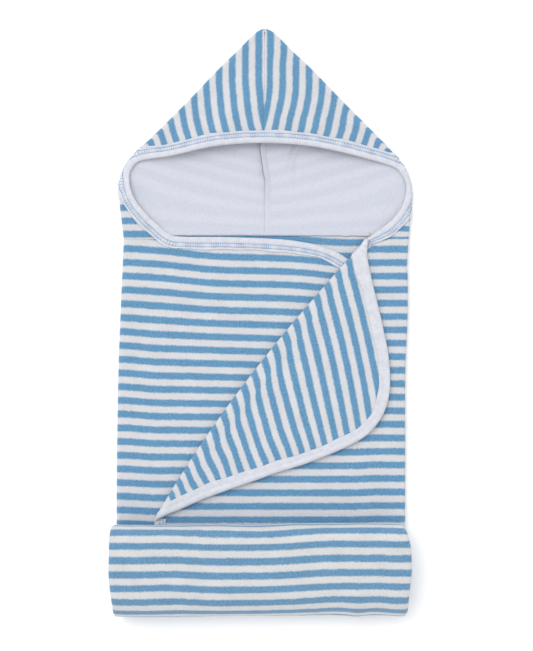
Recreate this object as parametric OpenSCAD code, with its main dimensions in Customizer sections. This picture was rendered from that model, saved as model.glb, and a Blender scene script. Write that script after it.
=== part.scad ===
// Hooded baby towel, laid face up: side flaps folded over the front, one corner turned back
// as a lapel, the foot rolled up.  Units: millimetres.
// Frame: origin at the centre of the footprint on the table, +Y towards the peak of the hood,
// +X to the right as seen from above, +Z up.

/* [Towel] */
// Width of the towel between its two side folds
body_w = 288; // [240:1:340]
// Length of the lying towel from the foot to the neck seam
body_l = 380; // [340:1:440]
// Thickness of one layer of terry cloth
cloth_t = 2.8; // [2:0.1:3]
// Clearance between two layers that lie on each other
layer_gap = 0.3; // [0.3:0.05:0.5]

/* [Hood] */
// Height of the hood from the neck seam to the peak
hood_h = 204; // [170:1:240]
// Width of the hood across the cheeks
hood_w = 290; // [250:1:320]
// Free height inside the hood pocket
pocket_h = 7.2; // [5:0.1:12]
// How far the middle of the brow stands above the neck seam
brow_rise = 92; // [70:1:110]

/* [Binding] */
// Visible width of the jersey edge binding
binding_w = 12; // [8:0.5:16]
// Distance between the two rows of cover stitch
stitch_spacing = 4; // [3:0.5:6]
// Width of one row of cover stitch
stitch_w = 0.8; // [0.5:0.1:1.5]

/* [Lapel] */
// How far the turned-back corner reaches from its fold line
lapel_reach = 118; // [100:1:125]

/* [Roll] */
// Length of the rolled foot, measured along the towel
roll_l = 95; // [80:1:110]
// Width of the rolled foot
roll_w = 298; // [280:1:320]

/* [Hidden] */
$fn = 64;

blue = "#6fa0c6";
pale = "#dee1e4";
white = "#e4e6ee";
thread = "#8fb4d8";

// Levels of the layers, from the table up
layer_step = cloth_t + layer_gap;
left_z = layer_step;
right_z = 2 * layer_step;
stack_t = 2 * layer_step + cloth_t;
thread_t = 0.3;
trim_t = 1;
lapel_z = stack_t + 3 * layer_gap;
hood_front_z = cloth_t + pocket_h;

// Places along the towel
half_l = (body_l + hood_h) / 2;
foot_y = -half_l;
neck_y = body_l - half_l;
hood_y = neck_y + layer_gap;
peak_y = half_l;
fold_x = body_w / 2;
cheek_x = hood_w / 2;
seam_clear = 0.15;

// Ends of the lapel's fold line, and the two directions along and across it
fold_top = [102, neck_y - 4];
fold_low = [-109, foot_y + roll_l];
fold_run = fold_top - fold_low;
fold_along = fold_run / norm(fold_run);
fold_across = [fold_along.y, -fold_along.x];

// A point of the lapel: share of the fold line from its lower end, and distance from it
function lapel_point(share, reach) = fold_low + share * fold_run + reach * fold_across;

// Smooth curve through points, and a curve moved sideways to its left
function spline_at(a, b, c, d, t) = 0.5 * (2 * b + (c - a) * t
    + (2 * a - 5 * b + 4 * c - d) * t * t + (3 * b - a - 3 * c + d) * t * t * t);
function curve(p, steps = 6) = concat(
    [for (i = [0:len(p) - 2], j = [0:steps - 1])
        spline_at(p[max(i - 1, 0)], p[i], p[i + 1], p[min(i + 2, len(p) - 1)], j / steps)],
    [p[len(p) - 1]]);
function unit(v) = v / norm(v);
function tangent(p, i) = unit(p[min(i + 1, len(p) - 1)] - p[max(i - 1, 0)]);
function shifted(p, d) = [for (i = [0:len(p) - 1])
    let (t = tangent(p, i)) p[i] + d * [-t.y, t.x]];
function reversed(p) = [for (i = [len(p) - 1:-1:0]) p[i]];
function mirrored(p) = [for (q = p) [-q.x, q.y]];
function closed_strip(p, near, far) = concat(shifted(p, near), reversed(shifted(p, far)));

// Right half of the hood's outer edge, from the neck up to the peak
cheek_edge = curve([[cheek_x - 3, neck_y], [cheek_x - 0.5, neck_y + 22], [cheek_x, neck_y + 40],
    [cheek_x - 4, neck_y + 62], [cheek_x - 18, neck_y + 85]]);
peak_edge = [[10, peak_y - 6], [4, peak_y - 1.5], [0, peak_y]];
hood_edge = concat(cheek_edge, peak_edge);

// Right half of the edge of the hood's mouth, from the neck up to the middle of the brow
mouth_edge = curve([[96, neck_y - 6], [104, neck_y + 9], [119, neck_y + 24], [130, neck_y + 42],
    [129, neck_y + 64], [114, neck_y + 74], [92, neck_y + 80], [46, neck_y + brow_rise - 3],
    [0, neck_y + brow_rise]]);
mouth_outline = concat(mouth_edge, reversed(mirrored(mouth_edge)));

// Bound edge of the left flap: along the top, round the corner and down to the foot
left_top_edge = curve([[-104, neck_y - 4], [-80, neck_y - 2], [-38, neck_y - 1],
    [15, neck_y - 3], [52, neck_y - 9], [76, neck_y - 20], [91, neck_y - 38], [96, neck_y - 60]]);
left_edge = concat(left_top_edge, [[96, foot_y + 1]]);

// Bound edge of the right flap below the lapel
right_edge = [fold_low, [fold_low.x - 3, foot_y + 1]];

// Bound outer edge of the lapel, from the top of the fold line round its corner to the low end
lapel_edge = curve([lapel_point(0.98, 6), lapel_point(0.93, 25), lapel_point(0.88, 45),
    lapel_point(0.825, 67), lapel_point(0.765, 90), lapel_point(0.69, lapel_reach - 8),
    lapel_point(0.635, lapel_reach - 1), lapel_point(0.58, lapel_reach),
    lapel_point(0.52, lapel_reach - 6), lapel_point(0.405, 88), lapel_point(0.3, 61.5),
    lapel_point(0.19, 38), lapel_point(0.07, 15)], 4);
lapel_body_edge = shifted(lapel_edge, -binding_w);

// Levels and centres of the rolled foot, in the Y-Z plane
turn_z = stack_t + 2 * layer_gap;
roll_top = turn_z + 4 * stack_t + layer_gap;
outer_r = (roll_top - turn_z) / 2;
outer_centre = [foot_y + roll_l - outer_r, turn_z + outer_r];
hollow_r = outer_r - stack_t;
inner_r = hollow_r - layer_gap;
return_r = (stack_t + inner_r * 2 + layer_gap) / 2;
return_centre = [foot_y + stack_t + layer_gap + return_r, turn_z + return_r];
foot_slack = 0.4;
hem_l = 11;

module plate(outline, z, t = cloth_t) {
    translate([0, 0, z]) linear_extrude(t) polygon(outline);
}

module stitch_rows(path, z) {
    for (row = [1, -1]) {
        middle = -binding_w / 2 + row * stitch_spacing / 2 - binding_w / 6;
        plate(closed_strip(path, middle - stitch_w / 2, middle + stitch_w / 2), z, thread_t);
    }
}

module along_x(width) {
    rotate([90, 0, 90]) linear_extrude(width, center = true) children();
}

module half_ring(centre, r_out, r_in, side) {
    translate(centre) difference() {
        circle(r_out);
        if (r_in > 0) circle(r_in);
        translate([side > 0 ? -2 * r_out : 0, -2 * r_out]) square([2 * r_out, 4 * r_out]);
    }
}

// Towel cloth between its folds
module back_panel() {
    color(blue) plate([[-fold_x + cloth_t, foot_y], [fold_x - cloth_t, foot_y],
        [fold_x - cloth_t, neck_y], [-fold_x + cloth_t, neck_y]], 0);
}

module side_fold(side, height) {
    inner = fold_x - cloth_t + layer_gap;
    translate([side > 0 ? inner : -fold_x, foot_y, 0])
        cube([fold_x - inner, body_l, height]);
}

module left_flap() {
    flap = concat([[-fold_x, foot_y], [-fold_x, neck_y], [left_edge[0].x - 1, neck_y]],
        shifted(left_edge, -binding_w - seam_clear));
    color(blue) union() {
        plate(flap, left_z);
        side_fold(-1, left_z + cloth_t);
    }
}

module left_flap_binding() {
    color(white) plate(closed_strip(left_edge, 0, -binding_w), left_z);
}

module left_flap_stitches() {
    color(thread) stitch_rows(left_top_edge, left_z + cloth_t);
}

module right_flap() {
    flap = [fold_top + [0, 4], [fold_x, neck_y], [fold_x, foot_y],
        [right_edge[1].x + binding_w, foot_y], [right_edge[0].x + binding_w, fold_low.y],
        lapel_point(0.04, layer_gap), lapel_point(1, layer_gap)];
    color(blue) union() {
        plate(flap, right_z);
        side_fold(1, right_z + cloth_t);
    }
}

module right_flap_binding() {
    color(white) plate(closed_strip(right_edge, seam_clear, binding_w - seam_clear - 1), right_z);
}

module neck_seam_tape() {
    color(white) translate([-94, hood_y + 1, cloth_t]) cube([188, 6, trim_t]);
}

// Hood panels: the back half lies on the table, the front half covers the pocket
module hood_half(side) {
    mirror([side > 0 ? 0 : 1, 0, 0]) intersection() {
        children();
        translate([seam_clear, hood_y, 0]) cube([cheek_x, hood_h, hood_front_z + cloth_t]);
    }
}

module hood_back(side) {
    color(pale) hood_half(side) plate(concat([[0, neck_y]], hood_edge), 0);
}

module hood_front(side) {
    color(blue) hood_half(side) union() {
        difference() {
            plate(concat([[0, neck_y]], hood_edge), hood_front_z);
            plate(concat(shifted(mouth_edge, -binding_w - seam_clear), [[-1, neck_y + 100],
                [-1, neck_y - 20], [80, neck_y - 20]]), hood_front_z - 1, cloth_t + 2);
        }
        plate(concat(hood_edge, reversed(shifted(hood_edge, cloth_t))),
            cloth_t, hood_front_z - cloth_t);
    }
}

module hood_back_left() { hood_back(-1); }
module hood_back_right() { hood_back(1); }
module hood_front_left() { hood_front(-1); }
module hood_front_right() { hood_front(1); }

module hood_seam_tape() {
    color(white) translate([-2.5, hood_y + 8, cloth_t]) cube([5, hood_h - 40, trim_t]);
}

module above_neck() {
    intersection() {
        children();
        translate([-cheek_x, hood_y, 0]) cube([hood_w, hood_h, 40]);
    }
}

module hood_binding() {
    color(white) above_neck()
        plate(closed_strip(mouth_outline, -binding_w, 0), hood_front_z);
}

module hood_binding_stitches() {
    color(thread) above_neck() stitch_rows(mouth_outline, hood_front_z + cloth_t);
}

// Turned-back corner of the right flap, all of it beyond the fold line
module beyond_fold() {
    intersection() {
        children();
        plate([lapel_point(0, layer_gap), lapel_point(1, layer_gap),
            lapel_point(1, lapel_reach + 20), lapel_point(0, lapel_reach + 20)],
            lapel_z - trim_t, cloth_t + 2 * trim_t);
    }
}

module lapel() {
    color(blue) beyond_fold()
        plate(concat([lapel_point(0.92, 0)], lapel_body_edge, [lapel_point(0.08, 0)]), lapel_z);
}

module lapel_binding() {
    color(white) beyond_fold()
        plate(closed_strip(lapel_edge, 0, seam_clear - binding_w), lapel_z);
}

module lapel_stitches() {
    color(thread) beyond_fold() stitch_rows(lapel_edge, lapel_z - thread_t);
}

// Rolled foot: the three-layer stack turns up, over, under and inwards as a flat spiral
module foot_turn() {
    color(blue) translate([-roll_w / 2, foot_y, stack_t + foot_slack])
        cube([roll_w, stack_t, roll_top - 2 * (stack_t + foot_slack)]);
}

module roll_outer_turn() {
    color(blue) along_x(roll_w) union() {
        translate([foot_y, roll_top - stack_t])
            square([outer_centre.x - foot_y, stack_t]);
        half_ring(outer_centre, outer_r, hollow_r, 1);
        translate([return_centre.x, turn_z])
            square([outer_centre.x - return_centre.x, stack_t]);
    }
}

module roll_inner_turn() {
    upper_z = outer_centre.y + layer_gap / 2;
    free_end_y = return_centre.x + hem_l + layer_gap;
    pass_t = inner_r - layer_gap / 2;
    color(blue) along_x(roll_w - 6) union() {
        half_ring(return_centre - [layer_gap, 0], return_r, return_r - stack_t, -1);
        translate([return_centre.x - layer_gap, upper_z])
            square([outer_centre.x - return_centre.x + layer_gap, pass_t]);
        half_ring(outer_centre, inner_r, 0, 1);
        translate([free_end_y, outer_centre.y - inner_r])
            square([outer_centre.x - free_end_y, pass_t]);
    }
}

module hem_binding() {
    color(white) translate([-roll_w / 2 + 4, return_centre.x, outer_centre.y - inner_r])
        cube([roll_w - 8, hem_l, inner_r - layer_gap / 2]);
}

back_panel();
left_flap();
left_flap_binding();
left_flap_stitches();
right_flap();
right_flap_binding();
neck_seam_tape();
hood_back_left();
hood_back_right();
hood_seam_tape();
hood_front_left();
hood_front_right();
hood_binding();
hood_binding_stitches();
lapel();
lapel_binding();
lapel_stitches();
foot_turn();
roll_outer_turn();
roll_inner_turn();
hem_binding();
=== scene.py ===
"""Looks of the hooded baby towel. Every shape is worked out in millimetres in the frame of the CAD
model (x to the right, y towards the hood, z up from the table) and turned to metres when a mesh is
made. The folds of the cloth are made in code, so they are the same at each run."""
import math

import bmesh
import bpy
import numpy as np
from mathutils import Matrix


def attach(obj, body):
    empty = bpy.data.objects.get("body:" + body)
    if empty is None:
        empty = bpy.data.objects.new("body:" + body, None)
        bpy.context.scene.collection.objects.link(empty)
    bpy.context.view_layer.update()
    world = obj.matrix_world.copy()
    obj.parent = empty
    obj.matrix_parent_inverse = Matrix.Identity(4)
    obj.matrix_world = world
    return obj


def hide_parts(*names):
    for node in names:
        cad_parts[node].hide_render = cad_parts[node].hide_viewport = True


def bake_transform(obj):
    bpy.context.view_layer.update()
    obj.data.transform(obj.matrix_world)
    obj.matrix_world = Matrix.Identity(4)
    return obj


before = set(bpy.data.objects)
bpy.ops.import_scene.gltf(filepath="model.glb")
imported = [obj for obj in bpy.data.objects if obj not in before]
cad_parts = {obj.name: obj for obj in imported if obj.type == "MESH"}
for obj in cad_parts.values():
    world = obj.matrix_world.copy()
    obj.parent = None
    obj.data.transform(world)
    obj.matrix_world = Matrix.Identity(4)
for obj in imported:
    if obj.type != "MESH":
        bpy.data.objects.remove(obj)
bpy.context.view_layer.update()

MM = 0.001
CLOTH = 2.6           # thickness of the terry
STRIPE = 13.5         # one blue and one white stripe
BACK_Z = 1.4          # height of the middle of each layer of cloth
LEFT_Z = 4.4
RIGHT_Z = 7.3
LAPEL_Z = 11.5
NECK_Y = 85.0         # seam between the hood and the towel
CLOTH_TOP = NECK_Y - 0.6    # where the towel's cloth ends at that seam
FOOT_Y = -274.5       # where the towel starts to turn up into the roll
ROLL_Y = -197.0       # hood side of the roll
FOLD_START = np.array([-109.0, ROLL_Y])     # low end of the lapel's fold line
FOLD_END = np.array([102.0, 84.0])          # its end at the neck
FOLD_LENGTH = float(np.linalg.norm(FOLD_END - FOLD_START))
FOLD_ALONG = (FOLD_END - FOLD_START) / FOLD_LENGTH
FOLD_ACROSS = np.array([FOLD_ALONG[1], -FOLD_ALONG[0]])     # to the right of the line
FOLD_NOSE = 3.3       # from the edge of the lapel's fold to where its turn begins
FOLD_RADIUS = 2.0     # radius of that turn on the plan
FOLD_LEAD = 8.0       # the lapel's piece begins at least this far before the fold line
TURN = 1.8            # radius of the middle of the cloth at a flat fold
TURN_INSET = 3.1      # the edge of the cloth to the centre of such a turn
STITCH_ROWS = (6.3, 10.0)   # distance of the two rows of thread from the edge of a tape
TAPE_STEP = 1.6       # distance between the cross-sections of a tape
NARROW_TAPE = 0.89    # width of the flap's tape, as a share of the mouth's
HALF = math.pi / 2


# ---------------------------------------------------------------- numbers
def smooth(t):
    """Goes gently from 0 to 1 while t does."""
    t = np.clip(t, 0.0, 1.0)
    return t * t * (3 - 2 * t)


def bell(x, middle, width):
    """1 at the middle, fading out over about `width` on both sides."""
    return np.exp(-((x - middle) / width) ** 2)


def mix(a, b, t):
    return a + (b - a) * t


def unit(vectors):
    """The rows of an array at length one."""
    return vectors / np.maximum(np.linalg.norm(vectors, axis=-1, keepdims=True), 1e-9)


def left_of(path):
    """The way to the left at each point of a path in a plane."""
    tangent = unit(np.gradient(path, axis=0))
    return np.column_stack([-tangent[:, 1], tangent[:, 0]])


def smooth_path(points, step):
    """Points about `step` apart on a smooth curve through the given ones."""
    given = np.array(points, float)
    ends = np.vstack([2 * given[0] - given[1], given, 2 * given[-1] - given[-2]])
    parts = []
    t = np.linspace(0, 1, 24, endpoint=False)[:, None]
    for i in range(len(given) - 1):
        a, b, c, d = ends[i:i + 4]
        cubic = -a + 3 * b - 3 * c + d
        square = 2 * a - 5 * b + 4 * c - d
        parts.append(0.5 * (2 * b + (c - a) * t + square * t**2 + cubic * t**3))
    dense = np.vstack(parts + [given[-1:]])
    length = distances(dense)
    count = max(2, int(round(length[-1] / step)) + 1)
    return resample(dense, np.linspace(0, length[-1], count))


def distances(path):
    """Length of a path up to each of its points."""
    return np.r_[0, np.cumsum(np.linalg.norm(np.diff(path, axis=0), axis=1))]


def resample(path, at):
    """Points of a path at the given distances along it."""
    length = distances(path)
    return np.column_stack([np.interp(at, length, path[:, k]) for k in range(path.shape[1])])


def ripple(x, y, size, seed):
    """Gentle waves between about -1 and 1, with crests roughly `size` apart."""
    rng = np.random.default_rng(seed)
    total = 0
    for _ in range(7):
        angle = rng.uniform(0, 2 * math.pi)
        pitch = size * rng.uniform(0.6, 1.8)
        phase = rng.uniform(0, 2 * math.pi)
        run = x * math.cos(angle) + y * math.sin(angle)
        total = total + np.sin(2 * math.pi * run / pitch + phase)
    return total / 4.0


# ---------------------------------------------------------------- meshes
def make_object(name, points, faces, cloth_uv, material, sharp=()):
    """A closed smooth mesh from points in mm, with the flat cloth's own coordinates as a UV map."""
    mesh = bpy.data.meshes.new(name)
    mesh.from_pydata((np.asarray(points) * MM).tolist(), [], faces)
    mesh.validate()
    edit = bmesh.new()
    edit.from_mesh(mesh)
    bmesh.ops.recalc_face_normals(edit, faces=edit.faces)
    edit.to_mesh(mesh)
    edit.free()
    mesh.polygons.foreach_set("use_smooth", [True] * len(mesh.polygons))
    layer = mesh.uv_layers.new(name="cloth")
    corner = np.zeros(len(mesh.loops), int)
    mesh.loops.foreach_get("vertex_index", corner)
    layer.data.foreach_set("uv", (np.asarray(cloth_uv)[corner] * MM).ravel())
    mark_sharp(mesh, sharp)
    mesh.materials.append(material)
    piece = bpy.data.objects.new(name, mesh)
    bpy.context.scene.collection.objects.link(piece)
    return piece


def mark_sharp(mesh, rows):
    """Edges with both ends in the same row of points stay sharp."""
    for row in rows:
        members = set(int(i) for i in row)
        for edge in mesh.edges:
            if edge.vertices[0] in members and edge.vertices[1] in members:
                edge.use_edge_sharp = True


def quads(index):
    """The four-sided faces of a grid of point numbers."""
    corners = [index[:-1, :-1], index[:-1, 1:], index[1:, 1:], index[1:, :-1]]
    return np.stack(corners, axis=-1).reshape(-1, 4)


def sheet(name, middle, cloth_uv, material, thickness=CLOTH, flat_sides=()):
    """A closed sheet round a grid of points on its middle. Its edges are rounded, apart from the
    sides named in flat_sides (first_row, last_row, first_column, last_column)."""
    rows, columns = middle.shape[:2]
    normal = unit(np.cross(np.gradient(middle, axis=0), np.gradient(middle, axis=1))) * thickness / 2
    size = rows * columns
    index = np.arange(size).reshape(rows, columns)
    sides = [
        ("first_row", index[0, :-1], index[1, :-1]),
        ("last_column", index[:-1, -1], index[:-1, -2]),
        ("last_row", index[-1, :0:-1], index[-2, :0:-1]),
        ("first_column", index[:0:-1, 0], index[:0:-1, 1]),
    ]
    flat = middle.reshape(-1, 3)
    rim, rim_points = [], []
    for side, edge, inner in sides:
        bulge = 0.0 if side in flat_sides else 0.42 * thickness
        rim.append(edge)
        rim_points.append(flat[edge] + unit(flat[edge] - flat[inner]) * bulge)
    rim = np.concatenate(rim)
    points = np.vstack([flat + normal.reshape(-1, 3), flat - normal.reshape(-1, 3)] + rim_points)
    top = quads(index)
    both = np.stack([top, top[:, ::-1] + size], axis=1).reshape(-1, 4)
    around = np.column_stack([rim, 2 * size + np.arange(len(rim)), rim + size])
    faces = np.vstack([both, quads(np.vstack([around, around[:1]]))]).tolist()
    uv = cloth_uv.reshape(-1, 2)
    return make_object(name, points, faces, np.vstack([uv, uv, uv[rim]]), material,
                       sharp_rows(index, size, flat_sides))


def sharp_rows(index, size, flat_sides):
    """The rows of points along a sheet's flat sides, on both of its faces."""
    edges = {
        "first_row": index[0],
        "last_row": index[-1],
        "first_column": index[:, 0],
        "last_column": index[:, -1],
    }
    found = []
    for side in flat_sides:
        found += [edges[side], edges[side] + size]
    return found


def tube(name, rings, cloth_uv, material, flat_ends=False):
    """A closed solid through rings of points, with each end closed round a point in its middle."""
    count, around = rings.shape[:2]
    index = np.arange(count * around).reshape(count, around)
    closed = np.column_stack([index, index[:, 0]])
    faces = quads(closed).tolist()
    first, last = count * around, count * around + 1
    for j in range(around):
        faces.append([first, int(closed[0, j + 1]), int(closed[0, j])])
        faces.append([last, int(closed[-1, j]), int(closed[-1, j + 1])])
    middles = np.array([rings[0].mean(0), rings[-1].mean(0)])
    uv = cloth_uv.reshape(-1, 2)
    uv_ends = np.array([cloth_uv[0].mean(0), cloth_uv[-1].mean(0)])
    sharp = [index[0], index[-1]] if flat_ends else ()
    return make_object(name, np.vstack([rings.reshape(-1, 3), middles]), faces,
                       np.vstack([uv, uv_ends]), material, sharp)


# ---------------------------------------------------------------- materials
def node(tree, kind, inputs=(), **settings):
    """A new node: its inputs are linked to a socket or set to a value."""
    made = tree.nodes.new(kind)
    for key, value in settings.items():
        setattr(made, key, value)
    for key, value in dict(inputs).items():
        if isinstance(value, bpy.types.NodeSocket):
            tree.links.new(value, made.inputs[key])
        else:
            made.inputs[key].default_value = value
    return made


def math_node(tree, operation, a, b=0.0, c=0.0):
    return node(tree, "ShaderNodeMath", {0: a, 1: b, 2: c}, operation=operation).outputs[0]


def noise(tree, where, scale, detail=2.0, roughness=0.5):
    made = node(tree, "ShaderNodeTexNoise", {"Vector": where, "Scale": scale, "Detail": detail,
                                             "Roughness": roughness})
    return made.outputs["Fac"]


def map_range(tree, value, low, high, to_low, to_high, kind="LINEAR"):
    made = node(tree, "ShaderNodeMapRange", {"Value": value, "From Min": low, "From Max": high,
                                             "To Min": to_low, "To Max": to_high},
                interpolation_type=kind)
    return made.outputs["Result"]


def mottle(tree, where, scale, low, high, detail=3.0, roughness=0.5):
    """Patches between two values."""
    return map_range(tree, noise(tree, where, scale, detail, roughness), 0.3, 0.7, low, high)


def mix_colour(tree, share, a, b, kind="MIX"):
    """Two colours mixed, each of them a socket or three numbers."""
    made = node(tree, "ShaderNodeMix", data_type="RGBA", blend_type=kind)
    for socket, value in (("Factor_Float", share), ("A_Color", a), ("B_Color", b)):
        target = next(s for s in made.inputs if s.identifier == socket)
        if isinstance(value, bpy.types.NodeSocket):
            tree.links.new(value, target)
        elif socket == "Factor_Float":
            target.default_value = value
        else:
            target.default_value = (*value, 1.0)
    return next(s for s in made.outputs if s.identifier == "Result_Color")


def shaded(tree, colour, tone):
    """A colour made lighter or darker by a number."""
    grey = node(tree, "ShaderNodeCombineColor", {0: tone, 1: tone, 2: tone}).outputs[0]
    return mix_colour(tree, 1.0, colour, grey, "MULTIPLY")


def cloth_place(tree):
    """The flat cloth's own coordinates, in metres."""
    return node(tree, "ShaderNodeUVMap", uv_map="cloth").outputs[0]


def along_and_across(tree, where):
    """Metres along a stripe and metres across the stripes."""
    parts = node(tree, "ShaderNodeSeparateXYZ", {0: where})
    return parts.outputs[0], parts.outputs[1]


def stripe_number(tree, where, across, wave_scale, wander):
    """Counts the stripes across the cloth, with a slow wander of their edges."""
    moved = math_node(tree, "SUBTRACT", noise(tree, where, wave_scale), 0.5)
    straight = math_node(tree, "MULTIPLY", across, 1 / (STRIPE * MM))
    return math_node(tree, "MULTIPLY_ADD", moved, wander, straight)


def surface(tree, **inputs):
    """The shader of a material, with the named inputs set or linked."""
    named = {key.replace("_", " "): value for key, value in inputs.items()}
    shader = node(tree, "ShaderNodeBsdfPrincipled", named)
    node(tree, "ShaderNodeOutputMaterial", {0: shader.outputs[0]})


def fabric_shader(tree, colour, height, depth, sheen, roughness):
    """A matt cloth surface, with its relief from a height that is `depth` metres deep."""
    bump = node(tree, "ShaderNodeBump", {"Height": height, "Distance": depth, "Strength": 1.0})
    surface(tree, Base_Color=colour, Normal=bump.outputs[0], Roughness=roughness,
            Specular_IOR_Level=0.15, Sheen_Weight=sheen, Sheen_Roughness=0.6)


def new_material(name):
    """An empty material and its node tree."""
    material = bpy.data.materials.new(name)
    material.use_nodes = True
    material.node_tree.nodes.clear()
    return material, material.node_tree


def terry_material(name, blue, white, heather=0.0):
    """Striped knitted terry: soft-edged stripes, uneven dye, slow patches of painted sheen from the
    velour's nap, a velour pile and faint knit ribs.
    """
    material, tree = new_material(name)
    where = cloth_place(tree)
    across = along_and_across(tree, where)[1]
    fray = math_node(tree, "SUBTRACT", noise(tree, where, 620.0, 3.0), 0.5)
    count = stripe_number(tree, where, across, 120.0, 0.10)
    frayed = math_node(tree, "MULTIPLY_ADD", fray, 0.16, count)
    from_middle = math_node(tree, "PINGPONG", frayed, 0.5)
    share = map_range(tree, from_middle, 0.18, 0.335, 0.0, 1.0, "SMOOTHSTEP")
    heathered = map_range(tree, noise(tree, where, 520.0, 3.0, 0.75), 0.32, 0.68, 0.76, 1.20)
    colour = mix_colour(tree, share, shaded(tree, blue, heathered), white)
    # painted sheen: slow lighter and darker patches stand in for the velour's nap catching the light
    nap_sheen_patches = mottle(tree, where, 55.0, 0.95, 1.03)
    fleck = mottle(tree, where, 700.0, 0.93 - heather, 1.04, 2.0, 0.7)
    colour = shaded(tree, colour, math_node(tree, "MULTIPLY", nap_sheen_patches, fleck))
    ribs = node(tree, "ShaderNodeTexWave", {"Vector": where, "Scale": 210.0, "Distortion": 3.0,
                                            "Detail": 1.0, "Detail Scale": 2.0},
                bands_direction="X").outputs["Fac"]
    pile = noise(tree, where, 900.0, 4.0, 0.65)
    tufts = noise(tree, where, 330.0, 2.0)
    height = math_node(tree, "MULTIPLY_ADD", ribs, 0.12, pile)
    height = math_node(tree, "MULTIPLY_ADD", tufts, 0.9, height)
    fabric_shader(tree, colour, height, 0.00055, 0.25, 0.95)
    return material


def lining_material(name, pale, shade, crease=0.0):
    """Brushed reverse of the knit: the stripes only just show through. With crease set, painted
    shade darkens one side of the piece at its upper end, as the shade in a crease."""
    material, tree = new_material(name)
    where = cloth_place(tree)
    along, across = along_and_across(tree, where)
    from_middle = math_node(tree, "PINGPONG", stripe_number(tree, where, across, 60.0, 0.25), 0.5)
    share = map_range(tree, from_middle, 0.12, 0.40, 0.0, 1.0, "SMOOTHSTEP")
    colour = mix_colour(tree, share, shade, pale)
    tone = mottle(tree, where, 400.0, 0.96, 1.03)
    # painted shade: crease sets how dark one side of the piece is made, towards its upper end
    if crease:
        side = map_range(tree, across, 0.0018, 0.0032, 0.0, crease)
        crease_shade = math_node(tree, "MULTIPLY", side, map_range(tree, along, 0.030, 0.062, 0.0, 1.0))
        tone = math_node(tree, "MULTIPLY", tone, math_node(tree, "SUBTRACT", 1.0, crease_shade))
    colour = shaded(tree, colour, tone)
    height = math_node(tree, "MULTIPLY_ADD", noise(tree, where, 140.0, 2.0), 1.5,
                       noise(tree, where, 1000.0, 3.0))
    fabric_shader(tree, colour, height, 0.00035, 0.2, 0.92)
    return material


def jersey_material(name, pale, fold_shade):
    """Fine ribbed jersey tape, a little puckered across where it is sewn."""
    material, tree = new_material(name)
    where = cloth_place(tree)
    share = map_range(tree, noise(tree, where, 150.0), 0.35, 0.65, 0.0, 1.0)
    colour = mix_colour(tree, share, fold_shade, pale)
    colour = shaded(tree, colour, mottle(tree, where, 260.0, 0.95, 1.03))
    ribs = node(tree, "ShaderNodeTexWave", {"Vector": where, "Scale": 300.0, "Distortion": 1.5,
                                            "Detail": 1.0}, bands_direction="X").outputs["Fac"]
    stretched = node(tree, "ShaderNodeMapping", {"Vector": where, "Scale": (1.0, 0.35, 1.0)})
    pucker = noise(tree, stretched.outputs[0], 260.0, 2.0)
    height = math_node(tree, "MULTIPLY_ADD", pucker, 1.6, math_node(tree, "MULTIPLY", ribs, 0.25))
    fabric_shader(tree, colour, height, 0.0007, 0.1, 0.85)
    return material


def thread_material(name, colour, twist_shade):
    """Twisted sewing thread, with painted shade in the grooves of its twist."""
    material, tree = new_material(name)
    where = cloth_place(tree)
    twist = node(tree, "ShaderNodeTexWave", {"Vector": where, "Scale": 500.0, "Distortion": 1.0},
                 bands_direction="DIAGONAL").outputs["Fac"]
    # painted shade: the thread's colour is darkened where the twist's height is low
    shown = mix_colour(tree, twist, twist_shade, colour)
    fabric_shader(tree, shown, twist, 0.0001, 0.1, 0.6)
    return material


terry = terry_material("striped_terry", (0.100, 0.249, 0.412), (0.552, 0.560, 0.580))
terry_roll = terry_material("striped_terry_roll", (0.112, 0.250, 0.400), (0.562, 0.568, 0.575),
                            0.05)
lining = lining_material("hood_lining", (0.522, 0.535, 0.592), (0.488, 0.506, 0.572))
# the inner seam's lining: slightly lighter colours, and painted crease shade along the left of its
# ridge towards its upper end
seam_lining = lining_material("hood_seam_lining_crease_shade", (0.540, 0.552, 0.608), (0.528, 0.542, 0.598),
                              0.6)
jersey = jersey_material("jersey_binding", (0.595, 0.607, 0.650), (0.552, 0.566, 0.620))
thread = thread_material("thread", (0.31, 0.46, 0.68), (0.22, 0.37, 0.60))


# ---------------------------------------------------------------- outlines
# seen from above, in mm: the body's sides from foot to neck, and the hood's from neck to tip
BODY_LEFT = [(-146.4, -300), (-147.0, -170), (-145.6, -60), (-143.2, 10), (-141.2, 55),
             (-140.0, 84)]
BODY_RIGHT = [(140.5, -300), (140.8, -150), (141.0, -50), (143.0, 0), (143.5, 40), (142.8, 62),
              (144.5, 84)]
HOOD_LEFT = [(-140.0, 84), (-141.8, 100), (-144.0, 118), (-144.8, 134), (-143.0, 146),
             (-138.0, 158), (-126.0, 173), (-105.0, 193.5), (-75.0, 223.5), (-47.0, 253),
             (-27.0, 272.3), (-13.2, 286.4), (-5.5, 292.8), (0.6, 295.0)]
HOOD_RIGHT = [(144.5, 84), (145.6, 100), (146.6, 118), (147.2, 132), (144.9, 145.3),
              (139.2, 157.5), (126.8, 173.6), (106.8, 194.1), (76.9, 224.2), (48.4, 253.7),
              (28.9, 272.2), (14.7, 286.5), (7.2, 292.8), (0.6, 295.0)]
TIP_X = 0.3           # x of the hood's tip and of its seams
FRONT_SEAM = [(TIP_X, y) for y in (184, 215, 250, 274, 289.5)]
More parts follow.
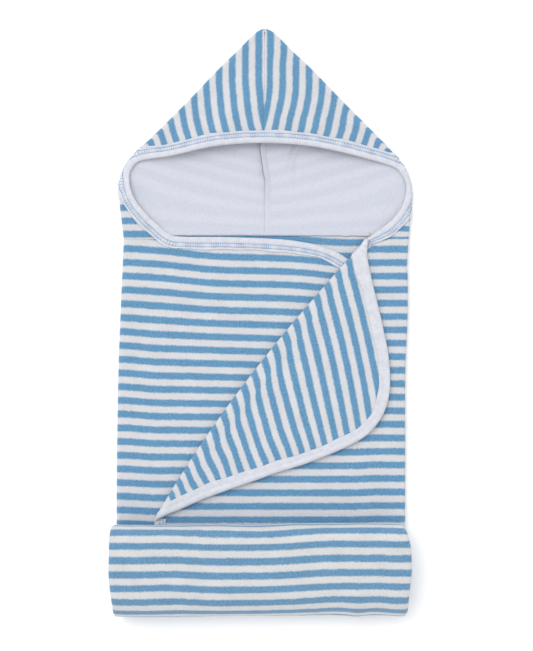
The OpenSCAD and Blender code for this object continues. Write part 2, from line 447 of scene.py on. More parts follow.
# halves of the hood's mouth edge from the neck to its brow, and on up the seam on its front
MOUTH_LEFT = [(-99.0, 86), (-105.8, 98.5), (-120.0, 113), (-131.0, 129.5), (-134.0, 142.5),
              (-132.5, 152.5), (-125.0, 161.5), (-91.5, 167), (-46.0, 176.8), (-18.0, 179.2),
              *FRONT_SEAM]
MOUTH_RIGHT = [(101.5, 85.2), (114.0, 93.6), (126.5, 103.4), (138.6, 120.5), (141.2, 138.3),
               (136.0, 149.5), (128.0, 156.5), (91.3, 167), (46.0, 176.3), (18.0, 179.2),
               *FRONT_SEAM]
# which point of the hood's side, counted from the neck, faces each point of its mouth and seam
HOOD_PAIRS = [0, 1.0, 2.0, 2.9, 3.75, 4.7, 5.5, 6.35, 7.15, 7.75, 8.2, 9.0, 10.0, 11.2, 12.9]
# the bound edge, from under the lapel along the left flap and right round the hood's mouth
MOUTH_EDGE = [(98.0, 54.0), (90.0, 60.5), (81.5, 66.5), (67.4, 74.3), (46.5, 80.4), (15, 84.6),
              (-37.7, 86.8), (-80, 87.2), (-94.0, 89.6), (-105.3, 98.8), (-114.7, 107.5),
              (-125.2, 119.6), (-131.1, 130), (-134.0, 142.6),
              (-132.6, 152.6), (-125, 161.6), (-110.0, 164.8), (-91.6, 167.2), (-46.0, 176.7),
              (0, 179.5), (45.6, 176.4), (91.3, 167.2), (127.6, 156.8), (136.8, 149.0),
              (141.4, 138.5), (140.0, 124.0), (133.2, 110.6), (123.4, 100.2), (112.0, 92.0),
              (104.0, 86.4), (99.6, 82.6)]
# how far the lapel reaches from its fold, at shares of the fold's length
LAPEL_REACH = [(0.0, 0.0), (0.03, 6.5), (0.07, 16), (0.19, 40), (0.30, 63.2), (0.405, 89),
               (0.52, 112), (0.58, 118), (0.635, 117), (0.69, 110), (0.765, 90), (0.825, 67),
               (0.88, 45), (0.93, 25), (0.98, 6), (1.0, 0.0)]


def edge_x(outline, y):
    """x of a side's outline at y."""
    path = smooth_path(outline, 2.0)
    return np.interp(y, path[:, 1], path[:, 0])


HOOD_OUTLINE = np.vstack([smooth_path(HOOD_LEFT, 1.5), smooth_path(HOOD_RIGHT, 1.5)[::-1][1:]])


def inset_of(x, y):
    """Distance in from the hood's outline, the nearest point on it and the way out there."""
    flat = np.column_stack([np.ravel(x), np.ravel(y)])
    nearest = ((flat[:, None, :] - HOOD_OUTLINE[None]) ** 2).sum(2).argmin(1)
    out = left_of(HOOD_OUTLINE)[nearest]
    inset = -((flat - HOOD_OUTLINE[nearest]) * out).sum(1)
    return inset.reshape(np.shape(x)), HOOD_OUTLINE[nearest], out


# ---------------------------------------------------------------- heights of the layers
def left_height(x, y):
    """Middle of the left flap: puffed at its fold, pressed where the right flap covers it."""
    puff = bell(x, edge_x(BODY_LEFT, y), 16.0)
    bare = smooth((-fold_reach(x, y) - 5) / 30)
    pressed = 0.35 * (1 - bare)
    return LEFT_Z + puff - pressed + (0.05 + 0.5 * bare) * ripple(x, y, 85.0, 3)


def right_height(x, y):
    """Middle of the right flap, with a slight sag beside the fold at its side."""
    side = edge_x(BODY_RIGHT, y)
    puff = 0.5 * bell(x, side, 16.0)
    sag = 0.9 * smooth((x - 98) / 14) * smooth((side - 12 - x) / 14)
    bare = smooth((x - 90 + 0.4 * (y + 190)) / 60)
    return RIGHT_Z + puff - sag + (0.1 + 0.4 * bare) * ripple(x, y, 90.0, 5)


def lapel_height(x, y):
    """Middle of the folded-back lapel."""
    reach = fold_reach(x, y)
    return LAPEL_Z + 0.3 * smooth(reach / 40) + 0.35 * ripple(x, y, 75.0, 8)


def hood_front_height(x, y, inset):
    """Middle of the hood's front layer: flat folds at its sides, loft at the brow, low at the tip."""
    brow = 14.0
    low_side = np.where(x < 0, LEFT_Z + 0.9, RIGHT_Z + 0.4)
    at_fold = mix(low_side, 5.0, smooth((y - NECK_Y) / 60))
    neck = np.where(x < 0, LEFT_Z + 0.6, RIGHT_Z + 0.1)
    loft = mix(neck, brow, smooth((y - NECK_Y) / 85))
    loft = np.where(y > 180, mix(6.0, brow, smooth((292 - y) / 105)), loft)
    rise = smooth((inset - TURN_INSET) / np.where(y > 150, 46.0, 16.0))
    return at_fold + (loft - at_fold) * rise + 0.45 * ripple(x, y, 70.0, 11) * rise


def hood_front(x, y, lift):
    """Point `lift` above the middle of the hood's front layer, going round its folded side."""
    inset, nearest, out = inset_of(x, y)
    shape = np.shape(x)
    flat_inset = np.ravel(inset)
    height = np.ravel(hood_front_height(x, y, np.maximum(inset, TURN_INSET)))
    radius = np.maximum((height - BACK_Z) / 2, 1.0)
    over = np.clip(TURN_INSET - flat_inset, 0, None)
    angle = np.minimum(over / radius, math.pi)
    centre = nearest - out * TURN_INSET
    turned = centre + out * ((TURN + np.ravel(lift)) * np.sin(angle))[:, None]
    plain = np.column_stack([np.ravel(x), np.ravel(y)])
    plan = np.where((over > 0)[:, None], turned, plain)
    z = height - radius * (1 - np.cos(angle)) + np.ravel(lift) * np.cos(angle)
    return np.column_stack([plan, z]).reshape(shape + (3,))


# ---------------------------------------------------------------- stripes of each part
# Each function gives the number of the stripe at a place. Whole numbers are the middles of the
# blue ones, so a number goes up by one from each blue stripe to the next.
LEFT_TOP_STRIPE = 74.0      # y of the first blue stripe below the neck
LEFT_PITCH = 13.65          # from one blue stripe to the next
RIGHT_TOP_STRIPE = 74.5
RIGHT_PITCH = 13.475
HOOD_PITCH = 13.15


def left_stripes(x, y):
    """The left flap: its stripes sag towards its free edge."""
    at_neck = -1.2 + 2.8 * bell(x, -50, np.where(x < -50, 38, 60))
    sagged = 2.0 * smooth((x + 144) / 40)
    y = y + mix(at_neck, sagged, smooth((54 - y) / 90))
    bow = 12 * np.clip((x + 136) / 212, 0, 1.2) + 4 * np.clip((x + 136) / 212, 0, 1.1) ** 8
    return (LEFT_TOP_STRIPE - y - bow) / (LEFT_PITCH - bow / 15)


def right_stripes(x, y):
    """The right flap: level, a little higher near its side."""
    raised = 0.8 * smooth((x - 85) / 30) * smooth((30 - y) / 60)
    return (RIGHT_TOP_STRIPE - y + raised) / RIGHT_PITCH


def back_stripes(x, y):
    """The back panel: from the left flap's stripes to the right flap's."""
    share = np.clip((x + 144) / 286, 0, 1)
    left, right = (LEFT_TOP_STRIPE - y) / LEFT_PITCH, (RIGHT_TOP_STRIPE - y) / RIGHT_PITCH
    plain = mix(left, right, share)
    near_neck = smooth(y / 60) * smooth((x + 20) / 110) * (1 - smooth((x - 100) / 40))
    return plain - 0.5 * near_neck


def foot_shift(y):
    """Lets the stripes of the flat part meet those of the roll, where the roll hides them."""
    return 0.95 * smooth((-y - 190) / 85)


def lapel_stripes(along, beyond):
    """The folded-back flap carries the flap's own stripes, a little crowded at its outer edge."""
    closed = FOLD_START[1] + along * FOLD_ALONG[1] - beyond * FOLD_ACROSS[1]
    reach = np.clip(beyond, 0, None)
    crowded = 0.08 + 0.45 * (reach / 95) ** 2
    outer = smooth((reach - 30) / 40)
    relaxed = 0.30 * np.clip(reach / 20, 0, 1) * (1 - smooth((along - 65 - 40 * outer) / 75))
    relaxed = relaxed - 0.12 * bell(along, 150, 45) * (1 - smooth((reach - 30) / 60))
    relaxed = relaxed - 0.10 * bell(along, 195, 35) * smooth(reach / 20)
    at_tip = 0.88 * (1 - smooth((along - 5) / 85))
    plain = (RIGHT_TOP_STRIPE - closed) / RIGHT_PITCH
    return plain + at_tip - (crowded - relaxed) * smooth(reach / 8)


def hood_back_stripes(x, y):
    """The hood's back: level stripes, closer together low on the right, beside the mouth."""
    plain = (294 - y) / HOOD_PITCH + 0.46 * smooth((190 - y) / 50)
    right_cheek = 14 + (116 - y) / 10.6
    return np.where(x > 0, mix(right_cheek, plain, smooth((y - 108) / 30)), plain)


def hood_front_stripes(x, y):
    """The hood's front: stripes up and down on both sides of its seam, drooping at the brow."""
    droop = 7.2 * np.clip((242 - y) / 48, 0, None) ** 2
    pulled = -1.3 * smooth(x / 10) * smooth((y - 190) / 15) * (1 - smooth((y - 255) / 20))
    pulled = pulled + 1.6 * smooth((x - 60) / 40) * (1 - smooth((y - 198) / 14))
    pulled = pulled + 0.7 * (x < 0) * (1 - smooth((y - 225) / 20))
    x = x - pulled
    gable = (np.abs(x - seam_x(y)) - 6 + np.minimum(droop, 16)) / HOOD_PITCH
    return mix(hood_back_stripes(x, y), gable, smooth((y - 150) / 22))


# ---------------------------------------------------------------- the wrapped towel
def fold_reach(x, y):
    """Distance to the right of the lapel's fold line."""
    return (x - FOLD_START[0]) * FOLD_ACROSS[0] + (y - FOLD_START[1]) * FOLD_ACROSS[1]


def fold_along(x, y):
    """Distance up the lapel's fold line."""
    return (x - FOLD_START[0]) * FOLD_ALONG[0] + (y - FOLD_START[1]) * FOLD_ALONG[1]


def fold_bow(along):
    """The folded edge bows out beyond the straight line between its two ends."""
    share = np.clip(along / FOLD_LENGTH, 0, 1)
    return 11.3 * np.sin(math.pi * share ** 0.86) ** 0.85


def fold_lead(along):
    """How far before the fold the lapel's piece begins: further in where the lapel hides it."""
    share = along / FOLD_LENGTH
    return FOLD_LEAD + 18.0 * smooth((share - 0.04) / 0.2) * smooth((0.93 - share) / 0.25)


def flap_end(y):
    """x where the right flap's piece ends and the lapel's begins."""
    along = np.linspace(-5, FOLD_LENGTH + 12, 400)
    reach = fold_lead(along) - fold_bow(along)
    points = FOLD_START + np.outer(along, FOLD_ALONG) + np.outer(reach, FOLD_ACROSS)
    return np.interp(y, points[:, 1], points[:, 0])


def left_top(x):
    """Top edge of the left flap, hidden inside its binding."""
    path = smooth_path(MOUTH_EDGE, 3.0)
    path = path[(path[:, 0] > -96) & (path[:, 1] < 91)]
    path = path[np.argsort(path[:, 0])]
    edge = np.interp(x, path[:, 0], path[:, 1]) - 2.2
    return np.where(x < -98, CLOTH_TOP, np.minimum(edge, CLOTH_TOP))


def back_top(x):
    """Top edge of the back panel, where the hood's lining begins inside the neck."""
    return CLOTH_TOP + 3.6 * smooth((x + 141) / 30) * smooth((141 - x) / 30)


def wrap_columns(y):
    """Cross-section of the wrap at one y: x, z, the layer of each column (0 the left flap, 1 the
    back, 2 the right flap, halves the turns between them) and how far round a turn it is."""
    left, right = float(edge_x(BODY_LEFT, y)) + TURN_INSET, float(edge_x(BODY_RIGHT, y)) - TURN_INSET
    inner_right = max(float(flap_end(y)), FOLD_START[0] - 1.0)
    count = 61
    share = np.linspace(0, 1, count)
    turn = np.linspace(0, math.pi, 9)[1:-1]
    x_left = mix(96.0, left, share)
    z_left = left_height(x_left, np.full_like(x_left, y))
    top_left, top_right = z_left[-1], float(right_height(right, y))
    radius_left, radius_right = (top_left - BACK_Z) / 2, (top_right - BACK_Z) / 2
    x_back = mix(left, right, share)
    x_right = mix(right, min(inner_right, right - 6), share)
    z_right = right_height(x_right, np.full_like(x_right, y))
    x = np.r_[x_left, left - TURN * np.sin(turn), x_back, right + TURN * np.sin(turn), x_right]
    z = np.r_[z_left, BACK_Z + radius_left * (1 + np.cos(turn)), np.full_like(x_back, BACK_Z),
              BACK_Z + radius_right * (1 - np.cos(turn)), z_right]
    part = np.repeat([0, 0.5, 1, 1.5, 2], [count, turn.size, count, turn.size, count])
    whole = np.ones(count)
    blend = np.r_[0 * whole, turn / math.pi, whole, turn / math.pi, whole]
    return x, z, part, blend


def wrap_stripes(x, y, part, blend):
    """Stripe number at points of the wrap, blended round the turns at its sides."""
    left, back, right = left_stripes(x, y), back_stripes(x, y), right_stripes(x, y)
    n = np.where(part == 0, left, np.where(part == 1, back, right))
    n = np.where(part == 0.5, mix(left, back, blend), n)
    n = np.where(part == 1.5, mix(back, right, blend), n)
    return n + foot_shift(y)


def build_wrap():
    """Back panel, left flap and right flap as one folded sheet, up to the start of the lapel."""
    levels = np.r_[np.linspace(0, 0.74, 75), np.linspace(0.74, 1, 38)[1:]]
    rows, uv = [], []
    for level in levels:
        x, z, part, blend = wrap_columns(mix(FOOT_Y, CLOTH_TOP, level))
        top = np.where(part == 0, left_top(x), CLOTH_TOP)
        top = np.where(part == 1, back_top(x), top)
        y = mix(FOOT_Y, top, level)
        z = np.where(part == 0, left_height(x, y), z)
        z = np.where(part == 2, right_height(x, y), z)
        seam = smooth((y - NECK_Y + 9) / 9) * (part != 1) * 0.5
        rows.append(np.column_stack([x, y, z - seam]))
        run = distances(np.column_stack([x, z]))
        uv.append(np.column_stack([run, wrap_stripes(x, y, part, blend) * STRIPE]))
    return sheet("towel_wrap", np.array(rows), np.array(uv), terry,
                 flat_sides=("first_row", "last_column"))


# ---------------------------------------------------------------- the lapel
def fold_over(along, beyond, lift):
    """Point `along` the lapel's fold line and `beyond` it on the unfolded flap, `lift` above the
    middle of the cloth's outer side, once the flap is folded back."""
    turn_length = math.pi * FOLD_RADIUS
    begins = -turn_length / 2
    angle = np.clip((beyond - begins) / FOLD_RADIUS, 0, math.pi)
    folded = beyond - begins - turn_length
    turning = FOLD_NOSE - FOLD_RADIUS * np.sin(angle)
    reach = np.where(angle <= 0, FOLD_NOSE + begins - beyond,
                     np.where(folded > 0, FOLD_NOSE + folded, turning))
    reach = reach + lift * np.sin(angle)
    bowed = np.where(angle < math.pi / 2, 1.0, 1 - smooth(reach / 62.0))
    reach = reach - fold_bow(along) * bowed
    x = FOLD_START[0] + along * FOLD_ALONG[0] + reach * FOLD_ACROSS[0]
    y = FOLD_START[1] + along * FOLD_ALONG[1] + reach * FOLD_ACROSS[1]
    low, high = right_height(x, y), lapel_height(x, y)
    z = (low + high) / 2 + (lift - (high - low) / 2) * np.cos(angle)
    return np.stack([x, y, z], axis=-1)


def lapel_reach(share):
    """How far the lapel's edge lies from the fold, at shares of the fold's length."""
    path = smooth_path(LAPEL_REACH, 0.05)
    return np.interp(share, path[:, 0], path[:, 1])


def build_lapel():
    """The turned-back corner of the right flap, from just before the fold line to its edge."""
    share = np.linspace(0.004, 0.996, 140)
    along = np.repeat((share * FOLD_LENGTH)[:, None], 84, axis=1)
    lead = fold_lead(along)
    edge = (lapel_reach(share) - 1.8)[:, None]
    near = np.minimum(14.0, mix(-FOLD_LEAD, edge, 0.62))
    part = np.linspace(0, 1, 84)[None]
    beyond = np.where(part < 0.2, mix(-lead, -FOLD_LEAD, part / 0.2),
                      np.where(part < 0.45, mix(-FOLD_LEAD, near, (part - 0.2) / 0.25),
                               mix(near, edge, (part - 0.45) / 0.55)))
    middle = fold_over(along, beyond, np.zeros_like(along))
    reach = fold_reach(middle[..., 0], middle[..., 1])
    flap = right_stripes(middle[..., 0], middle[..., 1])
    folded = lapel_stripes(along, reach)
    turned = smooth((beyond + lead + 1) / np.maximum(lead - 4.0, 3.0))
    n = mix(flap, folded, turned)
    uv = np.stack([along * FOLD_ALONG[0] - beyond * FOLD_ACROSS[0], n * STRIPE], axis=-1)
    return sheet("lapel_cloth", middle, uv, terry, flat_sides=("first_column",))


# ---------------------------------------------------------------- the hood
def hood_rows(outline, mouth, count):
    """Matching points on the hood's side and on its mouth edge and front seam."""
    dense = smooth_path(outline, 0.5)
    marks = [distances(dense)[((dense - p) ** 2).sum(1).argmin()] for p in np.array(outline)]
    at = np.interp(HOOD_PAIRS, np.arange(len(marks)), marks)
    pairs = np.arange(len(HOOD_PAIRS))
    spread = np.linspace(0, pairs[-1], count)
    side = resample(dense, np.interp(spread, pairs, at))
    front = np.column_stack([np.interp(spread, pairs, line) for line in np.array(mouth).T])
    for _ in range(2):
        front[1:-1] = (front[:-2] + 2 * front[1:-1] + front[2:]) / 4
    return side, front


def seam_x(y):
    """The hood's front seam wanders a little to the left at the brow."""
    return -0.8 + 1.5 * smooth((y - 190) / 45)


def set_back(path, cloth_on_left, inset):
    """The mouth's edge, moved in so that the cloth ends inside its binding."""
    moved = path + inward_normals(path, cloth_on_left) * inset
    at_seam = path[:, 1] > 184
    moved[at_seam] = path[at_seam]
    return moved


def build_hood_half(name, outline, mouth, side_sign):
    """Half of the hood: from the seam in the middle of its back, round the fold at its side, to
    the edge of its mouth and the seam on its front."""
    back_columns, front_columns = 34, 42
    side, front = hood_rows(outline, mouth, 120)
    out = inset_of(side[:, 0], side[:, 1])[2]
    fold = side - out * TURN_INSET
    seam_y = mix(NECK_Y + 3.3, 292.0, np.clip((side[:, 1] - 84) / 210.0, 0, 1))
    seam = np.column_stack([np.full(len(side), TIP_X + side_sign * 0.35), seam_y])
    back_share = np.linspace(0, 1, back_columns)[None, :, None]
    back = seam[:, None] + (fold - seam)[:, None] * back_share
    front_share = np.linspace(0, 1, front_columns)[None, :, None] ** 0.9
    front_end = set_back(front, side_sign < 0, 3.0)
    at_seam = (np.abs(front_end[:, 0] - TIP_X) < 6.0) & (front[:, 1] > 178)
    front_end[:, 0] = np.where(at_seam, seam_x(front[:, 1]) + side_sign * 0.3, front_end[:, 0])
    front_end[:, 1] = np.where(at_seam, np.maximum(front[:, 1], 182.6), front_end[:, 1])
    over = fold[:, None] + (front_end - fold)[:, None] * front_share
    x, y = over[..., 0], over[..., 1]
    z_over = hood_front_height(x, y, np.maximum(inset_of(x, y)[0], TURN_INSET))
    dip = 0.9 * bell(x, seam_x(y), 3.5) * smooth((y - 180) / 8)
    dip = dip + 0.5 * smooth((NECK_Y + 8 - y) / 8)
    top = np.stack([x, y, z_over - dip], axis=-1)
    turn = np.linspace(0, math.pi, 11)[1:-1]
    radius = (top[:, 0, 2] - BACK_Z) / 2
    bulge = fold[:, None] + out[:, None] * (TURN * np.sin(turn))[None, :, None]
    z_turn = BACK_Z + radius[:, None] * (1 - np.cos(turn))[None]
    round_side = np.concatenate([bulge, z_turn[..., None]], axis=2)
    under = np.concatenate([back, np.full(back.shape[:2] + (1,), BACK_Z)], axis=2)
    middle = np.concatenate([under, round_side, top], axis=1)
    share = np.r_[np.zeros(back_columns), turn / math.pi, np.ones(front_columns)][None]
    n = mix(hood_back_stripes(middle[..., 0], middle[..., 1]),
            hood_front_stripes(middle[..., 0], middle[..., 1]), share)
    run = np.cumsum(np.linalg.norm(np.diff(middle, axis=1, prepend=middle[:, :1]), axis=2), axis=1)
    uv = np.stack([run, n * STRIPE], axis=-1)
    return sheet(name, middle, uv, terry, thickness=2.4)


def build_lining():
    """Pale inside of the hood's back, seen through the mouth, with one crease and a slight drape."""
    levels = np.linspace(NECK_Y + 3.4, 276.0, 62)
    left, right = smooth_path(HOOD_LEFT, 1.0), smooth_path(HOOD_RIGHT, 1.0)
    rows, uv = [], []
    for y in levels:
        lean = 4.6 + 2.4 * smooth((y - 150) / 40)
        x = np.linspace(np.interp(y, left[:, 1], left[:, 0]) + lean,
                        np.interp(y, right[:, 1], right[:, 0]) - lean, 170)
        z = 3.25 + 0.35 * (1 + ripple(x, np.full_like(x, y), 60.0, 17)) * 0.5
        crease = x - 27 - (y - 156) * 0.24
        pinch = 2.2 * bell(crease, 0.0, 1.9) - 1.3 * bell(crease, -3.0, 1.6)
        z = z + pinch * smooth((y - 140) / 26)
        drape = np.sin((y - 0.22 * np.abs(x - 8) + 4 * np.sin(x / 31.0)) / 4.6)
        z = z + 0.16 * drape * smooth((np.abs(x) - 4) / 14)
        rows.append(np.column_stack([x, np.full_like(x, y), z]))
        slant = 0.05 + 0.20 * smooth((y - 95) / 60)
        uv.append(np.column_stack([x, slant * np.abs(x - 2.0) - y]))
    return sheet("hood_lining", np.array(rows), np.array(uv), lining, thickness=0.8)


def strip_along(name, path, width, height, base, material, undercut=0.0, rise=np.ones_like):
    """A low ridge along a path on the plan, steep or undercut on its left, fading out on its right.
    rise gives its height at each share of its length."""
    side = left_of(path)
    slope = np.array([-0.1, 0.62, 0.98, 1.0, 0.80, 0.58, 0.36, 0.14, -0.25 / height])
    off = np.r_[1.0 - undercut, 1.0, 0.88, 0.6, 0.3, 0.0, -0.35, -0.7, -1.0, -0.9, -0.3, 0.3, 0.6]
    off = off * width / 2
    run = distances(path)
    rings, uv = [], []
    for i, point in enumerate(path):
        wave = 1 + 0.06 * math.sin(run[i] / 3.1) + 0.05 * math.sin(run[i] / 1.9 + 1)
        tall = height * float(rise(run[i] / run[-1]))
        up = np.r_[slope * tall, -0.6, -0.6, -0.6, -0.6]
        ring = point + side[i] * (off * wave)[:, None]
        rings.append(np.column_stack([ring, base + up]))
        uv.append(np.column_stack([np.full(len(off), run[i]), off]))
    return tube(name, np.array(rings), np.array(uv), material)


# ---------------------------------------------------------------- bindings and stitches
def binding_profile(rows_of_stitches):
    """Cross-section of a tape folded over an edge: distance in from the edge, and height. The
    rows of thread press it in and its cut edge stands up beside them, or it has one groove."""
    full, nose = 2.35, 2.8
    a = np.array([0.0, 0.35, 1.0, 2.0, 3.2, 4.6, 5.6, 6.3, 7.0, 8.2, 9.4, 10.0, 10.6, 11.4, 12.0,
                  12.6])
    top = full * np.sqrt(np.clip(1 - ((nose - np.minimum(a, nose)) / nose) ** 2, 0, 1))
    top = top - 0.30 * smooth((a - 4.6) / 1.4)
    bottom = -top + 0.30 * bell(a, 6.6, 0.9)
    if rows_of_stitches:
        top -= 0.30 * bell(a, STITCH_ROWS[0], 0.6) + 0.30 * bell(a, STITCH_ROWS[1], 0.6)
        top += 0.35 * bell(a, 12.0, 0.45)
    else:
        top -= 0.35 * bell(a, 6.6, 0.9)
    outer_a = np.r_[a[::-1], a[1:]]
    outer_h = np.r_[top[::-1], bottom[1:]]
    gap = CLOTH / 2 + 0.04
    inner_a = np.array([12.6, 8.5, 4.5, 1.9, 1.5, 1.9, 4.5, 8.5, 12.6])
    inner_h = gap * np.repeat([-1, 0, 1], [4, 1, 4])
    is_outer = np.arange(len(outer_a) + len(inner_a)) < len(outer_a)
    return np.r_[outer_a, inner_a], np.r_[outer_h, inner_h], is_outer


def inward_normals(path, cloth_on_left=True):
    """The way in from an edge to the cloth, evened out along the edge."""
    side = left_of(path) * (1 if cloth_on_left else -1)
    for _ in range(4):
        side[1:-1] = (side[:-2] + 2 * side[1:-1] + side[2:]) / 4
    return unit(side)


def bind_edge(name, path, inward, place, rows_of_stitches, pucker=0.12, taper=np.ones_like):
    """A folded tape along an edge. place(x, y, lift) puts each point on the cloth, and taper
    gives the tape's width at each share of its length."""
    a, h, is_outer = binding_profile(rows_of_stitches)
    run = distances(path)
    rings, uv = [], []
    for i, s in enumerate(run):
        swell = 1 + pucker * math.sin(s / 2.1) * 0.5 + pucker * math.sin(s / 3.7 + 1.3) * 0.5
        width = 1 + 0.03 * math.sin(s / 11.0) + 0.025 * math.sin(s / 5.3 + 2)
        narrow = float(taper(s / run[-1]))
        plan = path[i] + inward[i] * (a * width * narrow)[:, None]
        rings.append(place(plan[:, 0], plan[:, 1], np.where(is_outer, h * swell, h)))
        uv.append(np.column_stack([np.full(len(a), s), np.where(h > 0, a, -a)]))
    return tube(name, np.array(rings), np.array(uv), jersey)


def capsule_rings(points, radius):
    """Rings of a small capsule along four points."""
    tangent = unit(np.gradient(points, axis=0))
    side = unit(np.cross(tangent, (0, 0, 1.0)))
    up = np.cross(side, tangent)
    angle = np.linspace(0, 2 * math.pi, 6, endpoint=False)
    size = radius * np.array([0.45, 1.0, 1.0, 0.45])
    ring = np.cos(angle)[None, :, None] * side[:, None] + np.sin(angle)[None, :, None] * up[:, None]
    return points[:, None] + ring * size[:, None, None]


def stitch_rows(name, path, inward, place, lift, taper=np.ones_like):
    """Two rows of separate stitches along an edge, and thin threads across between them."""
    pitch, radius = 2.3, 0.36
    run = distances(path)
    points, faces, uv = [], [], []

    def spot(s, a, up):
        plan = resample(np.column_stack([path, inward]), s)
        centre = plan[:, :2] + plan[:, 2:] * (a * taper(s / run[-1]))[:, None]
        return place(centre[:, 0], centre[:, 1], np.full(len(centre), up))

    def capsule(s, a, up, size):
        rings = capsule_rings(spot(s, a, up), size)
        count, around = rings.shape[:2]
        index = len(points) + np.arange(count * around).reshape(count, around)
        points.extend(rings.reshape(-1, 3))
        uv.extend([(s[0] + i, a[0] + j) for i in range(count) for j in range(around)])
        faces.extend(quads(np.column_stack([index, index[:, 0]])).tolist())
        faces.extend([index[0].tolist(), index[-1, ::-1].tolist()])

    for k in range(int(run[-1] / pitch)):
        s = (k + 0.15) * pitch
        for row in STITCH_ROWS:
            length = np.array([0.0, 0.25, 0.75, 1.0]) * 0.86 * pitch
            capsule(s + length, np.full(4, row), lift, radius)
        rung = np.linspace(STITCH_ROWS[0] + 0.4, STITCH_ROWS[1] - 0.4, 4)
        slant = np.array([0.40, 0.44, 0.56, 0.60]) * pitch
        capsule(s + slant, rung, lift - 0.02, radius * 0.7)
    return make_object(name, points, faces, np.array(uv, float), thread)


def mouth_place(x, y, lift):
    """A point on the flaps below the neck seam, and on the hood's front above it."""
    hood = hood_front(x, np.maximum(y, NECK_Y), lift)
    on_right = smooth((x + y - 158) / 14) * (x > 60)
    height = mix(left_height(x, y), right_height(x, y), on_right)
    flap = np.stack([x, y, height + lift], axis=-1)
    placed = mix(flap, hood, smooth((y - NECK_Y + 3) / 10)[..., None])
    placed[..., 2] = np.maximum(placed[..., 2], 0.1)
    return placed


def closed_place(x, y, lift):
    """A point of the lapel laid out flat, folded back, and held at the fold's nose short of it."""
    beyond = -fold_reach(x, y)
    round_nose = -1.5 - 2.5 * (1 - np.exp(np.minimum(beyond + 1.5, 0) / 2.5))
    return fold_over(fold_along(x, y), np.where(beyond < -1.5, round_nose, beyond), lift)


def lapel_edge_path():
    """The lapel's edge laid out flat, from the neck to the low end of the fold."""
    share = np.linspace(1.0, 0.0, 90)
    along, beyond = share * FOLD_LENGTH, lapel_reach(share)
    edge = FOLD_START + np.outer(along, FOLD_ALONG) - np.outer(beyond, FOLD_ACROSS)
    end = [(-109.2, -198.5)]
    return smooth_path(np.vstack([[(101.8, 85.6)], edge[3:-1:4], end]), 1.6)


def flap_place(x, y, lift):
    """A point of the right flap's own edge, pressed thinner where the roll lies on it."""
    pressed = smooth((-203.0 - y) / 20.0)
    height = right_height(x, y) + lift * (1 - 0.27 * pressed) - 0.22 * pressed
    return np.stack([x, y, height], axis=-1)


def mouth_width(share):
    """The tape narrows where it is twisted over into the lapel's."""
    return 1.0 - 0.42 * smooth((share - 0.955) / 0.045)


def lapel_width(share):
    """The tape starts narrow, and looks wider where it folds across at the top of the fold line."""
    top = smooth((share - 0.004) / 0.025) * smooth((0.13 - share) / 0.07)
    return NARROW_TAPE - 0.35 * (1 - smooth(share / 0.02)) + 0.20 * top


def narrow_width(share):
    """The flap's tape keeps one width."""
    return np.full_like(share, NARROW_TAPE)


def build_mouth_binding():
    """Tape and thread from the left flap's top edge on round the hood's mouth."""
    path = smooth_path(MOUTH_EDGE, TAPE_STEP)
    inward = inward_normals(path)
    tape = bind_edge("mouth_binding", path, inward, mouth_place, True, taper=mouth_width)
    stitches = stitch_rows("mouth_stitches", path, inward, mouth_place, 2.05, mouth_width)
    return tape, stitches


def build_lapel_binding():
    """Tape and thread round the lapel. The thread leaves out the two ends, where the tape twists."""
    path = lapel_edge_path()
    inward = inward_normals(path)
    tape = bind_edge("lapel_binding", path, inward, closed_place, False, pucker=0.22,
                     taper=lapel_width)
    stitches = stitch_rows("lapel_stitches", path[8:-16], inward[8:-16], closed_place, 2.25,
                           narrow_width)
    return tape, stitches


def build_flap_end_binding():
    """Tape and thread on the right flap's edge, from the lapel's low end on under the roll."""
    path = smooth_path([(-109.0, -193.5), (-109.4, -204), (-109.8, -225), (-109.8, -273)],
                       TAPE_STEP)
    inward = inward_normals(path)
    tape = bind_edge("flap_end_binding", path, inward, flap_place, True, taper=narrow_width)
    stitches = stitch_rows("flap_end_stitches", path, inward, flap_place, 2.05, narrow_width)
    return tape, stitches


# ---------------------------------------------------------------- the roll
def arc(centre, radius, start, end):
    """Points about 2.5 mm apart on an arc in the y-z plane."""
    angle = np.linspace(start, end, max(4, int(abs(end - start) * radius / 2.5)))
    return np.column_stack([centre[0] + radius * np.cos(angle), centre[1] + radius * np.sin(angle)])


def join_runs(runs, step):
    """One path through straight runs and arcs that follow each other, resampled evenly."""
    path = np.vstack([runs[0]] + [run[1:] for run in runs[1:]])
    length = distances(path)
    return resample(path, np.linspace(0, length[-1], int(length[-1] / step) + 1))


# places along the rolled stack where the spacing of its stripes changes, and their numbers there
ROLL_STRIPES = [0, 21.5, 33.8, 46.0, 58.0, 71.3, 85.3, 99.6, 110.3, 119.8, 390]
ROLL_STRIPE_NUMBERS = [26.85, 29, 30, 31, 32, 33, 34, 35, 36, 37, 57]

